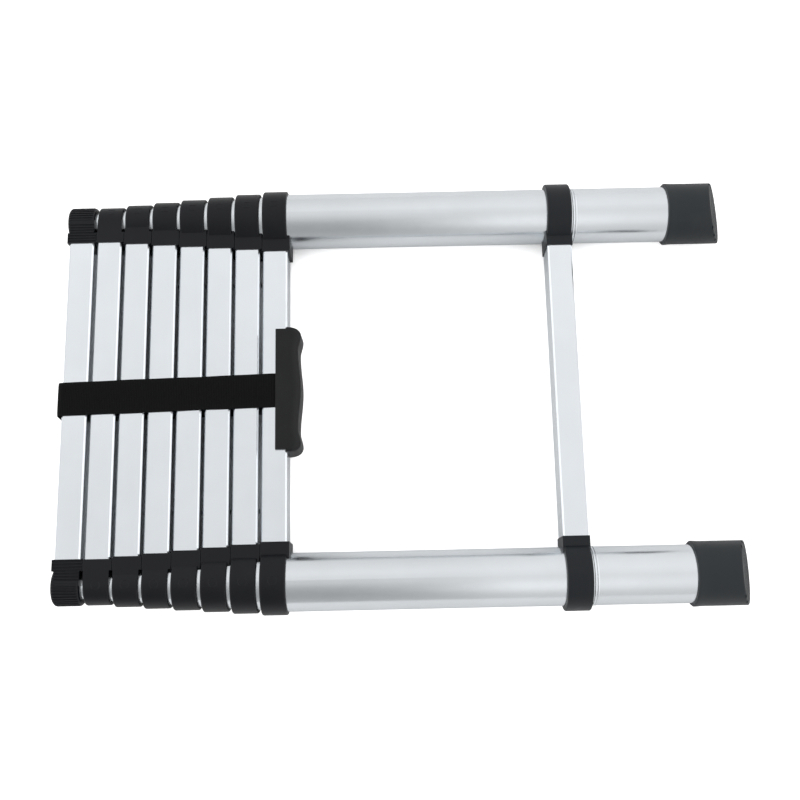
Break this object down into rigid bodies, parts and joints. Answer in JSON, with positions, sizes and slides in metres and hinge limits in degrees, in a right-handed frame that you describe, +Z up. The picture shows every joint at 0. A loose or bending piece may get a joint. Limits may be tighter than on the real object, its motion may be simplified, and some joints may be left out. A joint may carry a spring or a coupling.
{
  "type": "telescoping ladder",
  "caption": "Telescoping ladder, closed: nested tube stiles slide out of one another, with flat rungs in moulded collars, thumb locks, a grip, a strap and rubber feet.",
  "frame": {"origin": "on the ground under the middle of the closed ladder, which lies on its front", "axes": "+X along the stiles to the feet, +Y along the rungs to the climber's left, +Z up, out of the ladder's back"},
  "size_m": [0.7074, 0.4516, 0.0686],
  "materials": {
    "aluminium_tube": "satin anodised",
    "aluminium_rung": "satin anodised extrusion",
    "black_plastic": "moulded nylon, fine matte",
    "bush_plastic": "smooth moulded plastic",
    "foot_rubber": "moulded rubber",
    "handle_plastic": "moulded grip, fine matte",
    "webbing": "woven polyester webbing",
    "rivet_metal": "bright"
  },
  "bodies": {
    "section_1": {"section_1_tubes": "aluminium_tube", "rung_2_collars": "black_plastic", "rung_1": "aluminium_rung", "rung_2": "aluminium_rung", "rung_1_bracket_left": "black_plastic", "rung_1_bracket_right": "black_plastic", "foot_left": "foot_rubber", "foot_right": "foot_rubber", "carry_handle": "handle_plastic", "section_1_rivets": "rivet_metal"},
    "section_2": {"section_2_tubes": "aluminium_tube", "section_2_bushes": "bush_plastic", "rung_3": "aluminium_rung", "section_2_rivets": "rivet_metal", "rung_3_collars": "black_plastic"},
    "section_3": {"section_3_tubes": "aluminium_tube", "section_3_bushes": "bush_plastic", "rung_4": "aluminium_rung", "section_3_rivets": "rivet_metal", "rung_4_collars": "black_plastic"},
    "section_4": {"section_4_tubes": "aluminium_tube", "section_4_bushes": "bush_plastic", "rung_5": "aluminium_rung", "section_4_rivets": "rivet_metal", "rung_5_collars": "black_plastic"},
    "section_5": {"section_5_tubes": "aluminium_tube", "section_5_bushes": "bush_plastic", "rung_6": "aluminium_rung", "section_5_rivets": "rivet_metal", "rung_6_collars": "black_plastic"},
    "section_6": {"section_6_tubes": "aluminium_tube", "section_6_bushes": "bush_plastic", "rung_7": "aluminium_rung", "section_6_rivets": "rivet_metal", "rung_7_collars": "black_plastic"},
    "section_7": {"section_7_tubes": "aluminium_tube", "section_7_bushes": "bush_plastic", "rung_8": "aluminium_rung", "section_7_rivets": "rivet_metal", "rung_8_collars": "black_plastic"},
    "section_8": {"section_8_tubes": "aluminium_tube", "section_8_bushes": "bush_plastic", "rung_9": "aluminium_rung", "section_8_rivets": "rivet_metal", "top_caps": "black_plastic", "carry_strap": "webbing"},
    "lock_2_left": {"lock_2_left": "black_plastic"},
    "lock_2_right": {"lock_2_right": "black_plastic"},
    "lock_3_left": {"lock_3_left": "black_plastic"},
    "lock_3_right": {"lock_3_right": "black_plastic"},
    "lock_4_left": {"lock_4_left": "black_plastic"},
    "lock_4_right": {"lock_4_right": "black_plastic"},
    "lock_5_left": {"lock_5_left": "black_plastic"},
    "lock_5_right": {"lock_5_right": "black_plastic"},
    "lock_6_left": {"lock_6_left": "black_plastic"},
    "lock_6_right": {"lock_6_right": "black_plastic"},
    "lock_7_left": {"lock_7_left": "black_plastic"},
    "lock_7_right": {"lock_7_right": "black_plastic"},
    "lock_8_left": {"lock_8_left": "black_plastic"},
    "lock_8_right": {"lock_8_right": "black_plastic"}
  },
  "joints": [
    {"name": "section_2_slide", "type": "slide", "parent": "section_1", "child": "section_2", "axis": [-1, 0, 0], "range_m": [0, 0.2708]},
    {"name": "section_3_slide", "type": "slide", "parent": "section_2", "child": "section_3", "axis": [-1, 0, 0], "range_m": [0, 0.2708]},
    {"name": "section_4_slide", "type": "slide", "parent": "section_3", "child": "section_4", "axis": [-1, 0, 0], "range_m": [0, 0.2708]},
    {"name": "section_5_slide", "type": "slide", "parent": "section_4", "child": "section_5", "axis": [-1, 0, 0], "range_m": [0, 0.2708]},
    {"name": "section_6_slide", "type": "slide", "parent": "section_5", "child": "section_6", "axis": [-1, 0, 0], "range_m": [0, 0.2708]},
    {"name": "section_7_slide", "type": "slide", "parent": "section_6", "child": "section_7", "axis": [-1, 0, 0], "range_m": [0, 0.2708]},
    {"name": "section_8_slide", "type": "slide", "parent": "section_7", "child": "section_8", "axis": [-1, 0, 0], "range_m": [0, 0.2708]},
    {"name": "lock_2_left_slide", "type": "slide", "parent": "section_1", "child": "lock_2_left", "axis": [0, -1, 0], "range_m": [0, 0.006], "stiffness_N_per_m": 400, "springref_m": -0.006},
    {"name": "lock_2_right_slide", "type": "slide", "parent": "section_1", "child": "lock_2_right", "axis": [0, 1, 0], "range_m": [0, 0.006], "stiffness_N_per_m": 400, "springref_m": -0.006},
    {"name": "lock_3_left_slide", "type": "slide", "parent": "section_2", "child": "lock_3_left", "axis": [0, -1, 0], "range_m": [0, 0.006], "stiffness_N_per_m": 400, "springref_m": -0.006},
    {"name": "lock_3_right_slide", "type": "slide", "parent": "section_2", "child": "lock_3_right", "axis": [0, 1, 0], "range_m": [0, 0.006], "stiffness_N_per_m": 400, "springref_m": -0.006},
    {"name": "lock_4_left_slide", "type": "slide", "parent": "section_3", "child": "lock_4_left", "axis": [0, -1, 0], "range_m": [0, 0.006], "stiffness_N_per_m": 400, "springref_m": -0.006},
    {"name": "lock_4_right_slide", "type": "slide", "parent": "section_3", "child": "lock_4_right", "axis": [0, 1, 0], "range_m": [0, 0.006], "stiffness_N_per_m": 400, "springref_m": -0.006},
    {"name": "lock_5_left_slide", "type": "slide", "parent": "section_4", "child": "lock_5_left", "axis": [0, -1, 0], "range_m": [0, 0.006], "stiffness_N_per_m": 400, "springref_m": -0.006},
    {"name": "lock_5_right_slide", "type": "slide", "parent": "section_4", "child": "lock_5_right", "axis": [0, 1, 0], "range_m": [0, 0.006], "stiffness_N_per_m": 400, "springref_m": -0.006},
    {"name": "lock_6_left_slide", "type": "slide", "parent": "section_5", "child": "lock_6_left", "axis": [0, -1, 0], "range_m": [0, 0.006], "stiffness_N_per_m": 400, "springref_m": -0.006},
    {"name": "lock_6_right_slide", "type": "slide", "parent": "section_5", "child": "lock_6_right", "axis": [0, 1, 0], "range_m": [0, 0.006], "stiffness_N_per_m": 400, "springref_m": -0.006},
    {"name": "lock_7_left_slide", "type": "slide", "parent": "section_6", "child": "lock_7_left", "axis": [0, -1, 0], "range_m": [0, 0.006], "stiffness_N_per_m": 400, "springref_m": -0.006},
    {"name": "lock_7_right_slide", "type": "slide", "parent": "section_6", "child": "lock_7_right", "axis": [0, 1, 0], "range_m": [0, 0.006], "stiffness_N_per_m": 400, "springref_m": -0.006},
    {"name": "lock_8_left_slide", "type": "slide", "parent": "section_7", "child": "lock_8_left", "axis": [0, -1, 0], "range_m": [0, 0.006], "stiffness_N_per_m": 400, "springref_m": -0.006},
    {"name": "lock_8_right_slide", "type": "slide", "parent": "section_7", "child": "lock_8_right", "axis": [0, 1, 0], "range_m": [0, 0.006], "stiffness_N_per_m": 400, "springref_m": -0.006}
  ]
}
